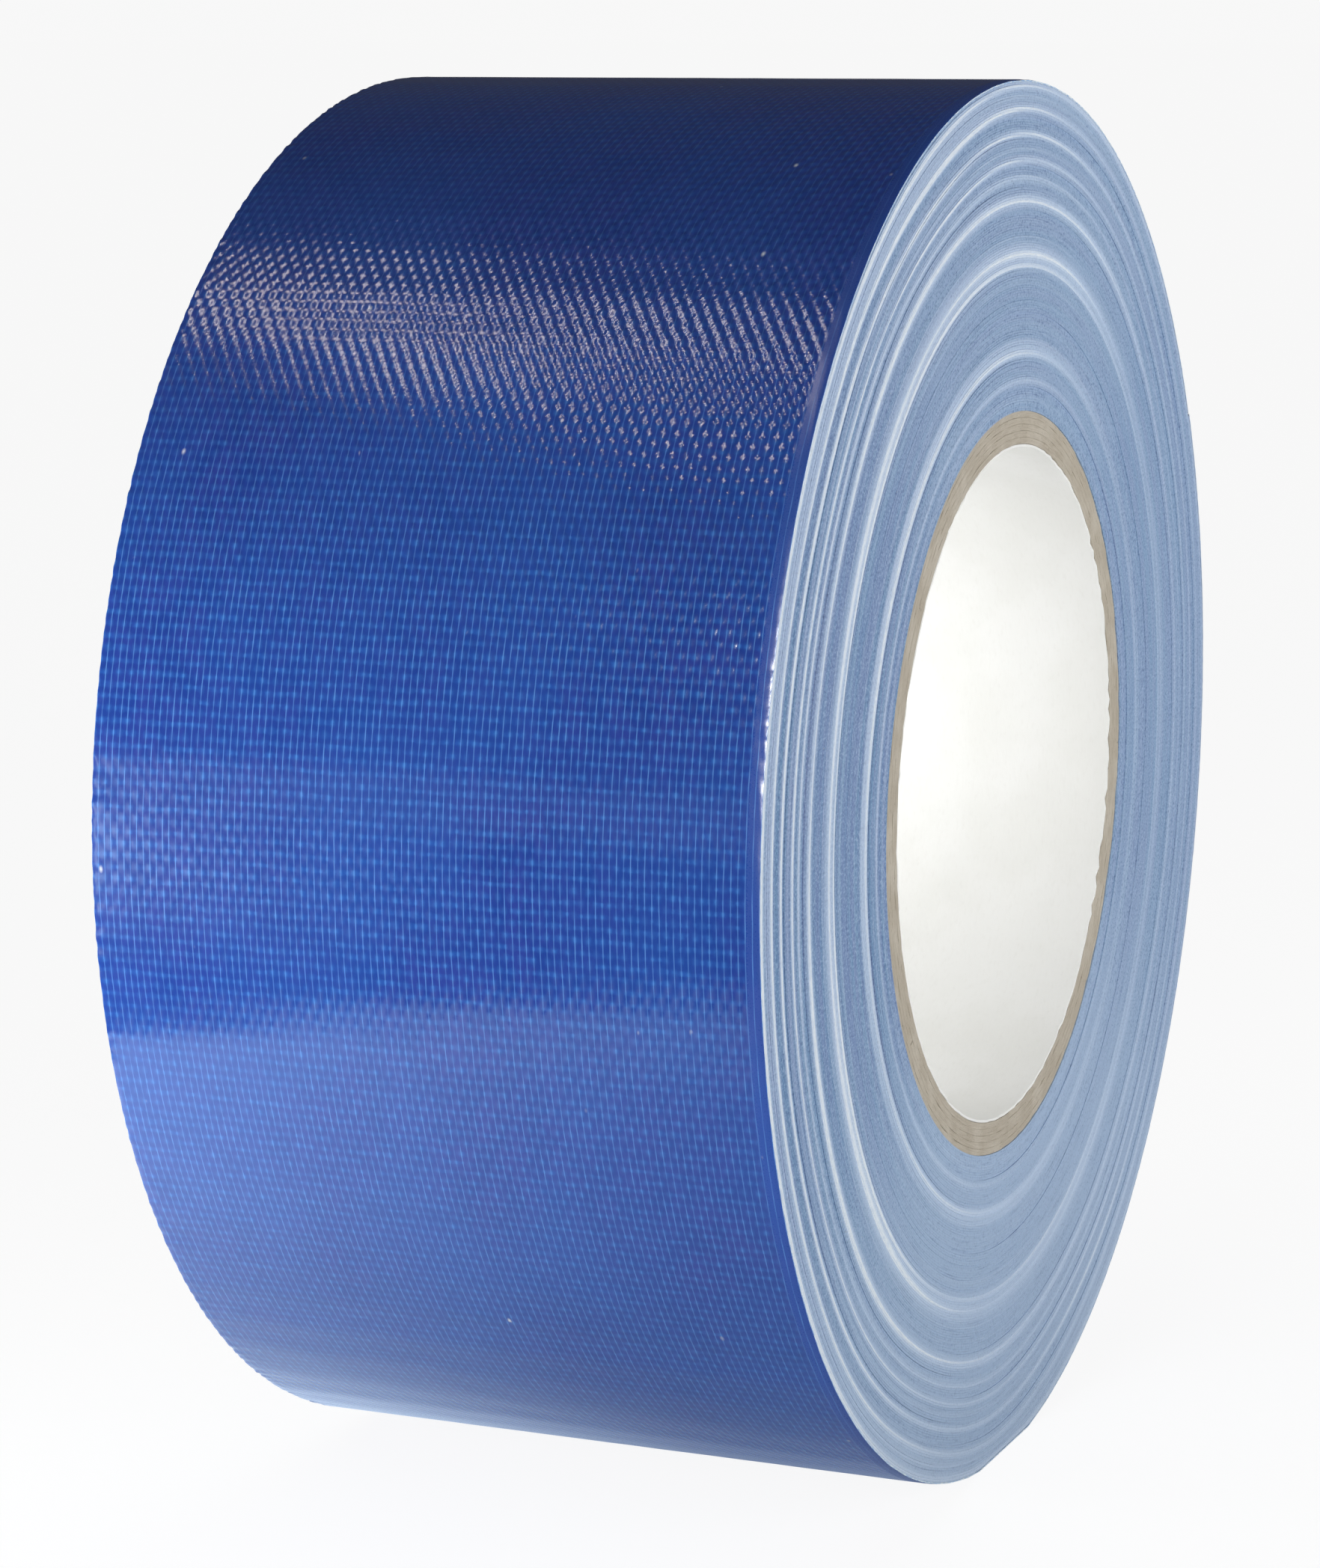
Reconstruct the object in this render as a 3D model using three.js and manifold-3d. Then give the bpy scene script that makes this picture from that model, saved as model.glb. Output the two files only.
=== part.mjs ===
// A roll of blue polyethylene-coated cloth tape on a spiral-wound paper core, standing on its tread.
// Millimetres. The roll's axis lies along Y and Z is up. The origin is the middle of the bore.
// The tape is one strip, wound anticlockwise when seen from -Y, and its free end lies on the +X side.

import * as THREE from 'three';
import { mergeVertices } from 'three/addons/utils/BufferGeometryUtils.js';
import Module from 'manifold-3d';

const wasm = await Module();
wasm.setup();

// Driving dimensions.
const BORE_RADIUS = 38.1; // a standard 3 inch core
const LINER_THICKNESS = 0.3; // the white paper inside the bore
const PLY_THICKNESS = 0.7; // one layer of kraft board
const PLY_COUNT = 5;
const GLUE_LINE = 0.04; // the gap between two layers that are stuck together
const CORE_WIDTH = 73.6;
const TAPE_WIDTH = 74;
const TURN_PITCH = 0.2755; // how much one turn of tape adds to the radius

// The wound tape shows ledges on its end faces, where the winding shifted sideways. Each group is
// the whole turns between two ledges, from the core outwards, and how far it sits towards +Y.
const TURN_GROUPS = [
  { turns: 10, shift: 0.1 },
  { turns: 11, shift: -0.12 },
  { turns: 19, shift: 0.06 },
  { turns: 17, shift: -0.1 },
  { turns: 24, shift: 0 },
  { turns: 9, shift: -0.14 },
  { turns: 9, shift: 0.08 },
  { turns: 10, shift: -0.12 },
  { turns: 9, shift: 0.1 },
  { turns: 8, shift: -0.06 },
  { turns: 6, shift: 0.08 },
];

// Every layer has the same facets, so that the flat of one never reaches the corner of the next.
const FACETS = 72;
const FACET_ANGLE = (2 * Math.PI) / FACETS;

// The roll's weight presses its outer turns flat where it stands, over this much on each side of
// the lowest point. It is wide enough to keep the roll from rolling away on a slight slope.
const BOTTOM_ANGLE = 1.5 * Math.PI;
const FOOT_HALF_ANGLE = THREE.MathUtils.degToRad(6.5);

const TAPE_END_ANGLE = 5.5 * FACET_ANGLE; // where the strip ends, measured from +X towards +Z
const FREE_END_LINKS = 6; // the loose end of the strip, one facet to each link
const LINK_GAP = 0.3; // between two links, and between the strip's start and the step before it

// The butt seam between the edges of a ply's own strip of paper, which winds round the core.
const SEAM_GAP = 0.5;
const SEAM_TURN = 2.1; // how far a seam winds round the core across its width, in radians
const SEAM_STEPS = 14;
const SEAM_SPACING = 1.25; // the turn from one ply's seam to the next, in radians
const SEAM_OVERCUT = 0.4; // how far the cut runs past a ply, inwards, outwards and at both ends

const COLORS = {
  liner: 0xf0efec,
  kraft: 0xb9ae9c,
  kraftDark: 0xaca08d,
  tapeEdge: 0x8fa8c8,
  tapeEdgePale: 0xa9bdd8,
  tapeFace: 0x24469c,
};

function paperMaterial(color) {
  return new THREE.MeshStandardMaterial({ color, roughness: 0.9, metalness: 0 });
}

function tapeEdgeMaterial(color) {
  return new THREE.MeshStandardMaterial({ color, roughness: 0.6, metalness: 0 });
}

function tapeFaceMaterial() {
  return new THREE.MeshStandardMaterial({ color: COLORS.tapeFace, roughness: 0.35, metalness: 0 });
}

function namedMesh(name, geometry, material) {
  const mesh = new THREE.Mesh(geometry, material);
  mesh.name = name;
  return mesh;
}

// A plain ring about Y, with the corners of its facets on the two radii.
function ringGeometry(innerRadius, outerRadius, width) {
  const profile = [
    new THREE.Vector2(innerRadius, -width / 2),
    new THREE.Vector2(outerRadius, -width / 2),
    new THREE.Vector2(outerRadius, width / 2),
    new THREE.Vector2(innerRadius, width / 2),
    new THREE.Vector2(innerRadius, -width / 2),
  ];
  return new THREE.LatheGeometry(profile, FACETS, FACET_ANGLE / 2);
}

// A solid with the given outline in the XZ plane, and half its width on each side of that plane.
function extrudeAcross(shape, width) {
  const geometry = new THREE.ExtrudeGeometry(shape, { depth: width, steps: 1, bevelEnabled: false });
  geometry.rotateX(Math.PI / 2);
  geometry.translate(0, width / 2, 0);
  return geometry;
}

function toManifold(geometry) {
  const bare = geometry.clone();
  bare.deleteAttribute('normal');
  bare.deleteAttribute('uv');
  const merged = mergeVertices(bare);
  const vertProperties = new Float32Array(merged.attributes.position.array);
  const triVerts = new Uint32Array(merged.index.array);
  return new wasm.Manifold(new wasm.Mesh({ numProp: 3, vertProperties, triVerts }));
}

function fromManifold(solid) {
  const { vertProperties, triVerts } = solid.getMesh();
  const geometry = new THREE.BufferGeometry();
  geometry.setAttribute('position', new THREE.BufferAttribute(new Float32Array(vertProperties), 3));
  geometry.setIndex(new THREE.BufferAttribute(new Uint32Array(triVerts), 1));
  geometry.computeVertexNormals();
  return geometry;
}

// The thin helical blade that opens a ply's seam: a four-sided section, repeated along the helix.
function seamBlade(innerRadius, outerRadius, startAngle) {
  const corners = [];
  for (let step = 0; step <= SEAM_STEPS; step++) {
    const along = step / SEAM_STEPS;
    const angle = startAngle + along * SEAM_TURN;
    const y = (along - 0.5) * (CORE_WIDTH + 2 * SEAM_OVERCUT);
    for (const [radius, side] of [[innerRadius, -1], [outerRadius, -1], [outerRadius, 1], [innerRadius, 1]]) {
      const turned = angle + (side * SEAM_GAP) / (2 * radius);
      corners.push(radius * Math.cos(turned), y, radius * Math.sin(turned));
    }
  }
  const triangles = [];
  const quad = (a, b, c, d) => triangles.push(a, b, c, a, c, d);
  for (let step = 0; step < SEAM_STEPS; step++) {
    for (let side = 0; side < 4; side++) {
      const next = (side + 1) % 4;
      quad(4 * step + side, 4 * step + 4 + side, 4 * step + 4 + next, 4 * step + next);
    }
  }
  const last = 4 * SEAM_STEPS;
  quad(0, 1, 2, 3);
  quad(last + 3, last + 2, last + 1, last);
  const geometry = new THREE.BufferGeometry();
  geometry.setAttribute('position', new THREE.Float32BufferAttribute(corners, 3));
  geometry.setIndex(triangles);
  return geometry;
}

function plyGeometry(innerRadius, outerRadius, seamAngle) {
  const ring = ringGeometry(innerRadius, outerRadius, CORE_WIDTH);
  const blade = seamBlade(innerRadius - SEAM_OVERCUT, outerRadius + SEAM_OVERCUT, seamAngle);
  return fromManifold(toManifold(ring).subtract(toManifold(blade)));
}

// The core, from the white liner outwards.
function buildCore() {
  const core = new THREE.Group();
  let radius = BORE_RADIUS;
  const liner = plyGeometry(radius, radius + LINER_THICKNESS, 0);
  core.add(namedMesh('core_liner', liner, paperMaterial(COLORS.liner)));
  radius += LINER_THICKNESS + GLUE_LINE;
  for (let ply = 1; ply <= PLY_COUNT; ply++) {
    const geometry = plyGeometry(radius, radius + PLY_THICKNESS, ply * SEAM_SPACING);
    const color = ply % 2 === 0 ? COLORS.kraftDark : COLORS.kraft;
    core.add(namedMesh(`core_ply_${ply}`, geometry, paperMaterial(color)));
    radius += PLY_THICKNESS + GLUE_LINE;
  }
  return core;
}

const TAPE_START_RADIUS = BORE_RADIUS + LINER_THICKNESS + GLUE_LINE + PLY_COUNT * (PLY_THICKNESS + GLUE_LINE);
const WOUND_TURNS = TURN_GROUPS.reduce((sum, group) => sum + group.turns, 0);
const LAST_TURN_RADIUS = TAPE_START_RADIUS + WOUND_TURNS * TURN_PITCH;
const STRIP_THICKNESS = TURN_PITCH - GLUE_LINE;

// The corners near the lowest point move apart to the two ends of the foot.
function cornerAngle(corner) {
  const angle = TAPE_END_ANGLE + corner * FACET_ANGLE;
  const fromBottom = angle - BOTTOM_ANGLE;
  const isInFoot = Math.abs(fromBottom) < FOOT_HALF_ANGLE;
  return isInFoot ? BOTTOM_ANGLE + Math.sign(fromBottom) * FOOT_HALF_ANGLE : angle;
}

// A corner of the last turn's faceted spiral, counted in facets from the turn's start. The radius
// grows by one pitch over the turn, and lift is how far the corner stands off the turn's inner face.
function spiralCorner(corner, lift) {
  const radius = LAST_TURN_RADIUS + (TURN_PITCH * corner) / FACETS + lift;
  const angle = cornerAngle(corner);
  return new THREE.Vector2(radius * Math.cos(angle), radius * Math.sin(angle));
}

// A point on the flat after a corner, a given distance along that flat.
function spiralPoint(corner, distance, lift) {
  const from = spiralCorner(corner, lift);
  const to = spiralCorner(corner + 1, lift);
  return from.lerp(to, distance / from.distanceTo(to));
}

// The outline of a stretch of the last turn, from one corner to another, with the ends drawn in.
function stretchShape(firstCorner, lastCorner, firstInset, lastInset) {
  const face = (lift) => {
    const points = [spiralPoint(firstCorner, firstInset, lift)];
    for (let corner = firstCorner + 1; corner < lastCorner; corner++) {
      points.push(spiralCorner(corner, lift));
    }
    const lastFlat = spiralCorner(lastCorner - 1, lift).distanceTo(spiralCorner(lastCorner, lift));
    points.push(spiralPoint(lastCorner - 1, lastFlat - lastInset, lift));
    return points;
  };
  return new THREE.Shape([...face(STRIP_THICKNESS), ...face(0).reverse()]);
}

// The outermost group follows the spiral: its outside grows over one turn and drops at a step,
// which is where the strip leaves the group and becomes the last turn.
function steppedGroupShape(innerRadius) {
  const outline = [];
  for (let corner = 0; corner <= FACETS; corner++) {
    outline.push(spiralCorner(corner, -GLUE_LINE));
  }
  const shape = new THREE.Shape(outline);
  const hole = [];
  for (let corner = 0; corner < FACETS; corner++) {
    const angle = TAPE_END_ANGLE + corner * FACET_ANGLE;
    hole.push(new THREE.Vector2(innerRadius * Math.cos(angle), innerRadius * Math.sin(angle)));
  }
  shape.holes.push(new THREE.Path(hole));
  return shape;
}

// A group's name holds its first and last turn, so tape_turns_001_010 is the first ten.
function groupName(firstTurn, lastTurn) {
  const digits = (turn) => String(turn).padStart(3, '0');
  return `tape_turns_${digits(firstTurn)}_${digits(lastTurn)}`;
}

function buildWoundTape() {
  const tape = new THREE.Group();
  let turnsSoFar = 0;
  TURN_GROUPS.forEach((group, index) => {
    const innerRadius = TAPE_START_RADIUS + turnsSoFar * TURN_PITCH;
    const outerRadius = innerRadius + group.turns * TURN_PITCH - GLUE_LINE;
    const isOutermost = index === TURN_GROUPS.length - 1;
    const geometry = isOutermost
      ? extrudeAcross(steppedGroupShape(innerRadius), TAPE_WIDTH)
      : ringGeometry(innerRadius, outerRadius, TAPE_WIDTH);
    const color = index % 2 === 0 ? COLORS.tapeEdge : COLORS.tapeEdgePale;
    const name = groupName(turnsSoFar + 1, turnsSoFar + group.turns);
    const mesh = namedMesh(name, geometry, tapeEdgeMaterial(color));
    mesh.position.y = group.shift;
    tape.add(mesh);
    turnsSoFar += group.turns;
  });
  return tape;
}

// The last turn: most of it is stuck down in one piece, and the free end is a chain of flat links,
// hinged edge to edge at their outer faces.
function buildLastTurn() {
  const lastTurn = new THREE.Group();
  const stuckFacets = FACETS - FREE_END_LINKS;
  const stuck = extrudeAcross(stretchShape(0, stuckFacets, LINK_GAP, LINK_GAP / 2), TAPE_WIDTH);
  lastTurn.add(namedMesh('tape_outer_turn', stuck, tapeFaceMaterial()));
  for (let link = 1; link <= FREE_END_LINKS; link++) {
    const corner = stuckFacets + link - 1;
    const geometry = extrudeAcross(stretchShape(corner, corner + 1, LINK_GAP / 2, LINK_GAP / 2), TAPE_WIDTH);
    lastTurn.add(namedMesh(`free_end_${link}`, geometry, tapeFaceMaterial()));
  }
  return lastTurn;
}

const roll = new THREE.Group();
roll.add(buildCore());
roll.add(buildWoundTape());
roll.add(buildLastTurn());

export default roll;
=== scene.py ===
"""The looks of a roll of blue polyethylene-coated cloth tape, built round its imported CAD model.

Metres, in the frame of the CAD model: the roll's axis lies along Y, Z is up, and the origin is the
middle of the bore. Angles go round Y from +X towards +Z. The strip is wound with rising angle, and
its free end lies on the +X side. The near end face is the one at -Y, which the camera sees.
"""

import math

import bpy
import numpy as np
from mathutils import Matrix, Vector


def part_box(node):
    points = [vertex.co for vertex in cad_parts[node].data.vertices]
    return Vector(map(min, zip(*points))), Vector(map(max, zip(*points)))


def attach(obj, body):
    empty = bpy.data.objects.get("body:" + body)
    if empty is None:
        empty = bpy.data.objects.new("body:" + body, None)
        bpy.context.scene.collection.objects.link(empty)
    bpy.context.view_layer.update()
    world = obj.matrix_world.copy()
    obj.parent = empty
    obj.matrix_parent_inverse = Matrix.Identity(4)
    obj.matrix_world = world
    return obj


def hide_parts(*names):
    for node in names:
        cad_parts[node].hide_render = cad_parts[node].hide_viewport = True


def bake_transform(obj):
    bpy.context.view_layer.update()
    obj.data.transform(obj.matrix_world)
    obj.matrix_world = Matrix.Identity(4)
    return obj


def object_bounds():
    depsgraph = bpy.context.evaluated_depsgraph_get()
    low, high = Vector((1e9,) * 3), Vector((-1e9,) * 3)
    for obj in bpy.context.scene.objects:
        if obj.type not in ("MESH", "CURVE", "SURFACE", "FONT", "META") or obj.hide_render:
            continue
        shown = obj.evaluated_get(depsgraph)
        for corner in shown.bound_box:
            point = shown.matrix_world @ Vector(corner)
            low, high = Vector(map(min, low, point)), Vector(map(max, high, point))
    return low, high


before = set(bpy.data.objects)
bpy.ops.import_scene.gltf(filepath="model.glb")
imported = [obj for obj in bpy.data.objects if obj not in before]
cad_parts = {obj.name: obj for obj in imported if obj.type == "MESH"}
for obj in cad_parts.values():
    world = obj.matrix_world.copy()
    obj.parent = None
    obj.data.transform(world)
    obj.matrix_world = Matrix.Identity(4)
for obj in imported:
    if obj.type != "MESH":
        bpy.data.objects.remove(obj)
CAD_LOW, CAD_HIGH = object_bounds()

MM = 0.001
FULL_TURN = 2 * math.pi

# ---- What the CAD model says ---------------------------------------------------------------------

FACET = math.radians(5)  # every CAD ring has 72 facets, with corners half a facet off the axes
GLUE_LINE = 0.04 * MM
LINER_THICKNESS = 0.3 * MM
STRIP_END_ANGLE = math.radians(27.5)
LAYER_COUNT = sum(name.startswith("core_ply_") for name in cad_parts)
GROUP_NODES = sorted(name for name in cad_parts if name.startswith("tape_turns_"))
LINK_COUNT = sum(name.startswith("free_end_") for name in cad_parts)


def ring_radius(node):
    """The outer radius of a CAD ring, at the corners of its facets."""
    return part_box(node)[1].x / math.cos(FACET / 2)


def half_width(node):
    """Half of a node's size along the roll's axis."""
    low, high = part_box(node)
    return (high.y - low.y) / 2


def turn_numbers(node):
    """The first and the last turn of a group of wound turns, which its node's name ends in."""
    first, last = node.split("_")[-2:]
    return int(first), int(last)


BORE_RADIUS = ring_radius("core_liner") - LINER_THICKNESS
TAPE_START_RADIUS = ring_radius(f"core_ply_{LAYER_COUNT}") + GLUE_LINE
LAST_PLAIN_GROUP = GROUP_NODES[-2]  # the outermost group isn't a plain ring: it ends in a step
LAST_PLAIN_RADIUS = ring_radius(LAST_PLAIN_GROUP) + GLUE_LINE
TURN_PITCH = (LAST_PLAIN_RADIUS - TAPE_START_RADIUS) / turn_numbers(LAST_PLAIN_GROUP)[1]
WOUND_TURNS = turn_numbers(GROUP_NODES[-1])[1]
LAST_TURN_RADIUS = TAPE_START_RADIUS + WOUND_TURNS * TURN_PITCH
STRIP_THICKNESS = TURN_PITCH - GLUE_LINE
STRIP_HALF_WIDTH = half_width("tape_outer_turn")
FREE_END_ANGLE = STRIP_END_ANGLE + FULL_TURN - LINK_COUNT * FACET  # where the strip leaves the roll

# ---- The core ------------------------------------------------------------------------------------

HAIRLINE = 0.008 * MM  # the gap that these pieces keep where the CAD solids keep a glue line
SEAM_GAP = 0.15 * MM
SEAM_TURN = 2.1  # how far a layer's butt seam winds round the core across its width, in radians
SEAM_SPACING = 1.25  # from one layer's seam to the next
LINER_SEAM = 2.2
LAYER_COLUMNS = 200
LAYER_ROWS = 17
LAYER_SEED = 7
BOARD_BEVEL = 0.03 * MM
BOARD_WEAR = 0.12 * MM  # how far the cut edges of the board are worn back at most
LINER_WEAR = 0.3 * MM

# ---- The wound turns -----------------------------------------------------------------------------

# Where turns slid sideways in winding, a ledge stands out of the end faces, and a painted highlight
# makes it pale: its middle, counted in turns from the core, its strength, and how many turns it
# reaches to each side.
LEDGES = [
    (4.5, 0.32, 2.0),
    (12.5, 0.55, 2.0),
    (17, 0.22, 1.2),
    (23.5, 0.80, 2.2),
    (27.5, 0.55, 3.0),
    (35.5, 0.15, 2.0),
    (42, 0.15, 2.0),
    (52.5, 0.25, 2.0),
    (59, 0.85, 2.0),
    (63.5, 0.85, 2.8),
    (67.5, 0.30, 3.0),
    (70.5, 0.18, 1.5),
    (85, 1.00, 3.0),
    (94.3, 0.65, 1.8),
    (101.5, 0.90, 1.5),
    (106, 0.40, 1.3),
    (111.7, 1.05, 1.7),
    (121.8, 0.90, 1.9),
    (126.5, 0.45, 3.5),
    (131.3, 1.00, 1.8),
]
LEDGE_HEIGHT = 0.13 * MM  # how far the palest turn stands out of the near end face
LEDGE_FALLOFF = 1.4  # the power at which a ledge fades across its turns
LEDGE_SEED = 11
LEDGE_UNEVENNESS = 0.15
PALEST_ANGLE = math.radians(155)  # the ledges, and the painted highlight on them, are strongest here, and fade away opposite
FAINTEST_LEDGE = 0.4
COSINES_TO_PALEST = (-0.6, 1.0)  # of the angle from there, over which the ledges gain strength
SINES_TO_BOTTOM = (-0.45, -0.95)  # of the angle round Y, over which they gain it again
EXTRA_BELOW = 0.2  # the ledges and their painted highlight are this much stronger again at the bottom
DENT_ANGLE = math.radians(115)  # the outer ledges come closer to the core here
DENT_SPREAD = math.radians(22)
DENT_TURNS = 2.5
DENT_GROWS_OVER = (85, 100)  # turns

COLUMNS = 240  # of points round each group
GROOVE_WIDTH = 0.16  # of a turn, on each side of the line between two turns
GROOVE_DEPTH = 0.035 * MM
FACE_HALF_WIDTH = STRIP_HALF_WIDTH - 0.06 * MM  # the wound turns lie just inside the outer one
CAD_OFFSET_SHARE = 0.5  # how far a group follows the sideways offset of its CAD solid
TURN_JITTER = 0.012 * MM  # how unevenly single turns lie
FACE_DRIFT = 0.02 * MM
DRIFT_TURNS = 40  # per radian, by which the drift of the face lags behind
SHADE_SPREAD = 0.045  # how much single turns differ at random in how pale they are, on top of the painted highlight
RING_SWAY = 0.2 * MM  # how far the outer turns wander in and out, where they were wound unevenly
SWAY_GROWS_OVER = (0.76 * LAST_TURN_RADIUS, 0.9 * LAST_TURN_RADIUS)
SWAY_ENDS_OVER = (LAST_TURN_RADIUS - 0.2 * MM, LAST_TURN_RADIUS - 3 * MM)
STEP_LENGTH = 0.3 * MM  # of the step at the end of the last turn
FOOT_REACH = -0.5  # the sine of the angles below which the flat foot can cut into the roll

# ---- The outer turn, its cloth and its free end --------------------------------------------------

WARP_PITCH = 0.755 * MM  # between the threads that run round the roll
WEFT_PITCH = 1.25 * MM  # between the threads that run across the strip
WARP_SPAN = (-STRIP_HALF_WIDTH / WARP_PITCH, STRIP_HALF_WIDTH / WARP_PITCH)
WEFTS_PER_RADIAN = LAST_TURN_RADIUS / WEFT_PITCH
FLAT_MARGIN = -(STRIP_HALF_WIDTH - 1.2 * MM) / WARP_PITCH  # counted in warp threads
FLAT_MARGIN_END = -(STRIP_HALF_WIDTH - 1.8 * MM) / WARP_PITCH

EDGE_ROWS = np.array([0, 0.04, 0.12, 0.25, 0.45, 0.7, 1.0, 1.5]) * MM  # from each edge of the strip
MIDDLE_ROWS = 20
STRIP_COLUMNS = 900
LINK_COLUMNS = 20
TIP_WAVER = 0.0022  # radians, how uneven the cut across the strip is
LUMP_HEIGHT = 0.012 * MM  # of the gentle lumps where the film follows the turns under it
LUMP_SLANT = 9 * WEFT_PITCH  # how far across the strip the lumps shift by one radian
FAR_LUMP_HEIGHT = 0.05 * MM  # of the lumps along the far edge
FAR_LUMP_REACH = 1.0 * MM
WRINKLE_HEIGHT = 0.08 * MM  # of the small wrinkles along a stretch of the near edge
WRINKLE_REACH = 0.7 * MM
WRINKLE_ANGLE = math.radians(166)
WRINKLE_SPREAD = math.radians(6)
EDGE_ROUNDINGS = [(0.06 * MM, 0.2 * MM), (0.03 * MM, 0.7 * MM)]  # the drop at the edge and its reach
FILM_SLOT, RIM_SLOT, ADHESIVE_SLOT = 0, 1, 2

# Where each mark of a thread starts and is full, in spacings from the thread's middle.
THREAD_LINE = (0.11, 0.03)
THREAD_BAR = (0.36, 0.05)
CROSSING_WARP = (0.46, 0.0)
CROSSING_WEFT = (0.48, 0.0)
WARP_WANDER = 0.22  # how far the threads stray, in spacings
WEFT_WANDER = 0.55

SHARP_ANGLE = math.radians(32)

# ---- Camera, lights and floor --------------------------------------------------------------------

CAMERA_AZIMUTH = 202.55  # degrees round Z from +X towards +Y
CAMERA_ELEVATION = 9.61
CAMERA_DISTANCE = 0.5176
CAMERA_LENS = 121.4
SENSOR_WIDTH = 36
AIM_RIGHT = -5.72 * MM  # where the lens points, seen from the camera, from the middle of the bore
AIM_UP = -2.35 * MM

WHITE = (1.0, 1.0, 1.0)
WINDOW_PINK = (1.0, 0.89, 0.8)
GLOW_BLUE = (0.7, 0.9, 1.0)
OVERHEAD_POWER = 0.38
OVERHEAD_SOFTNESS = math.radians(60)
OVERHEAD_AZIMUTH = 108
OVERHEAD_ELEVATION = 65

FLOOR_REACH = 60.0
FLOOR_CLEARANCE = 0.02 * MM
SHEET_SPACING = 0.4 * MM  # from the floor that the camera sees down to its two unseen sheets
FLOOR_ALBEDO = 0.15
FLOOR_GLOW = 0.908
BOUNCE_GLOW = 0.42  # of the light that the floor throws up, outside the roll's own shade
SHADE_START = 0.03  # distances from the axis, between which the shade fades out
SHADE_REACH = 0.2
SHADE_NARROWING = 3.0  # the shade is this much shorter along the axis than across it
TABLE_BLUE = (0.72, 0.87, 1.0, 1.0)
TABLE_EDGE = -0.236
TABLE_EDGE_SLANT = -1.1  # the table's edge is where x + slant * y = edge
TABLE_EDGE_SOFTNESS = 0.014
TABLE_GLOW_NEAR = 0.6
TABLE_GLOW_FAR = 3.5
TABLE_GLOW_UNDER_ROLL = 0.62
TABLE_GLOW_BEYOND = 0.02
TABLE_BRIGHTENS_OVER = (-0.02, 0.11)  # in y
TABLE_DIMS_OVER = (-0.09, -0.04)  # in x
WORLD_DIM = 0.05
WORLD_PALE = 0.935
WORLD_PALE_BELOW = 0.015  # heights above the horizon, as the sine of the elevation
WORLD_DIM_ABOVE = 0.05


def direction(azimuth, elevation):
    """A unit vector at an angle round Z from +X towards +Y, and above the horizon, in degrees."""
    a, e = math.radians(azimuth), math.radians(elevation)
    return Vector((math.cos(a) * math.cos(e), math.sin(a) * math.cos(e), math.sin(e)))


# The places that the lights are aimed at.
MIDDLE = (0.0, 0.0, 0.0)
UPPER_BAND = (-0.055, 0.0, 0.056)
NEAR_BAND = (-0.062, -0.035, 0.0485)
FAR_LEFT_EDGE = (-0.078, 0.035, 0.0)
FAR_LEFT = (-0.078, 0.03, 0.0)
BORE_WALL = (0.038, 0.0, 0.0)
FAR_FACE = (0.02, STRIP_HALF_WIDTH, 0.0)

# Each light's name, place, target, size, power and colour, and the one kind of ray that sees it.
AREA_LIGHTS = [
    ("window", (-0.084, 0.169, 0.361), UPPER_BAND, (0.075, 0.022), 0.07, WINDOW_PINK, "glossy"),
    ("front_fill", direction(-110, 8) * 0.75, MIDDLE, (0.5, 0.5), 2.9, WHITE, "diffuse"),
    ("near_window", (-0.164, 0.096, 0.368), NEAR_BAND, (0.05, 0.02), 0.065, WINDOW_PINK, "glossy"),
    ("edge_glint", direction(192, 17.5) * 0.6, MIDDLE, (0.06, 0.2), 4.0, WHITE, "glossy"),
    ("far_left_glow", (-0.29, 0.19, -0.032), FAR_LEFT_EDGE, (0.04, 0.09), 0.045, GLOW_BLUE, "glossy"),
    ("far_left_fill", (-0.20, 0.15, -0.04), FAR_LEFT, (0.12, 0.1), 0.45, WHITE, "diffuse"),
    ("bore_fill", (-0.02, -0.02, 0.0), BORE_WALL, (0.05, 0.05), 0.0085, WHITE, "diffuse"),
    ("side_fill", (0.16, -0.30, -0.02), FAR_FACE, (0.15, 0.15), 0.18, WHITE, "diffuse"),
]

# ---- Colours and finishes ------------------------------------------------------------------------


def linear(channel):
    """One channel of an sRGB colour, from 0 to 255, as the linear value that shaders take."""
    share = channel / 255
    return share / 12.92 if channel < 11 else ((share + 0.055) / 1.055) ** 2.4


def rgb(red, green, blue):
    """An opaque screen colour."""
    return (linear(red), linear(green), linear(blue), 1.0)


FILM_DEEP = rgb(34, 66, 154)
FILM_PURPLE = rgb(46, 68, 158)
FILM_BRIGHT = rgb(38, 82, 171)
FILM_MARGIN = rgb(44, 98, 194)
FILM_BAR = rgb(52, 118, 208)
FILM_DOT = rgb(78, 150, 228)
FILM_LINE = rgb(106, 164, 240)
FILM_SPECK = rgb(225, 232, 245)

FILM_RELIEF = 0.05 * MM  # what each of the shares below is a share of
CHECKER_RELIEF = 0.82  # the cloth's threads, where the film is drawn loosely over them
LINE_RELIEF = 0.05
GRAIN_RELIEF = 0.09
WAVE_RELIEF = 0.8
MARGIN_RELIEF = 0.5
TIGHT_RELIEF = 0.25
LOOSEST_ANGLE = math.radians(136)
LOOSE_NEAR = 1.45
LOOSE_FAR = 0.75
THREADS_ON_TOP = 0.3  # how much of the threads' colour is seen
THREADS_BELOW = 0.7
FILM_ROUGHNESS = (0.14, 0.2)
MARGIN_ROUGHNESS = 0.12  # added where the film lies flat
FILM_GLOSS = 0.65

ADHESIVE_BLUE = rgb(150, 164, 188)
ADHESIVE_PALE = rgb(196, 204, 214)
ADHESIVE_THREAD = rgb(222, 226, 230)
ADHESIVE_RELIEF = 0.03 * MM

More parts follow.
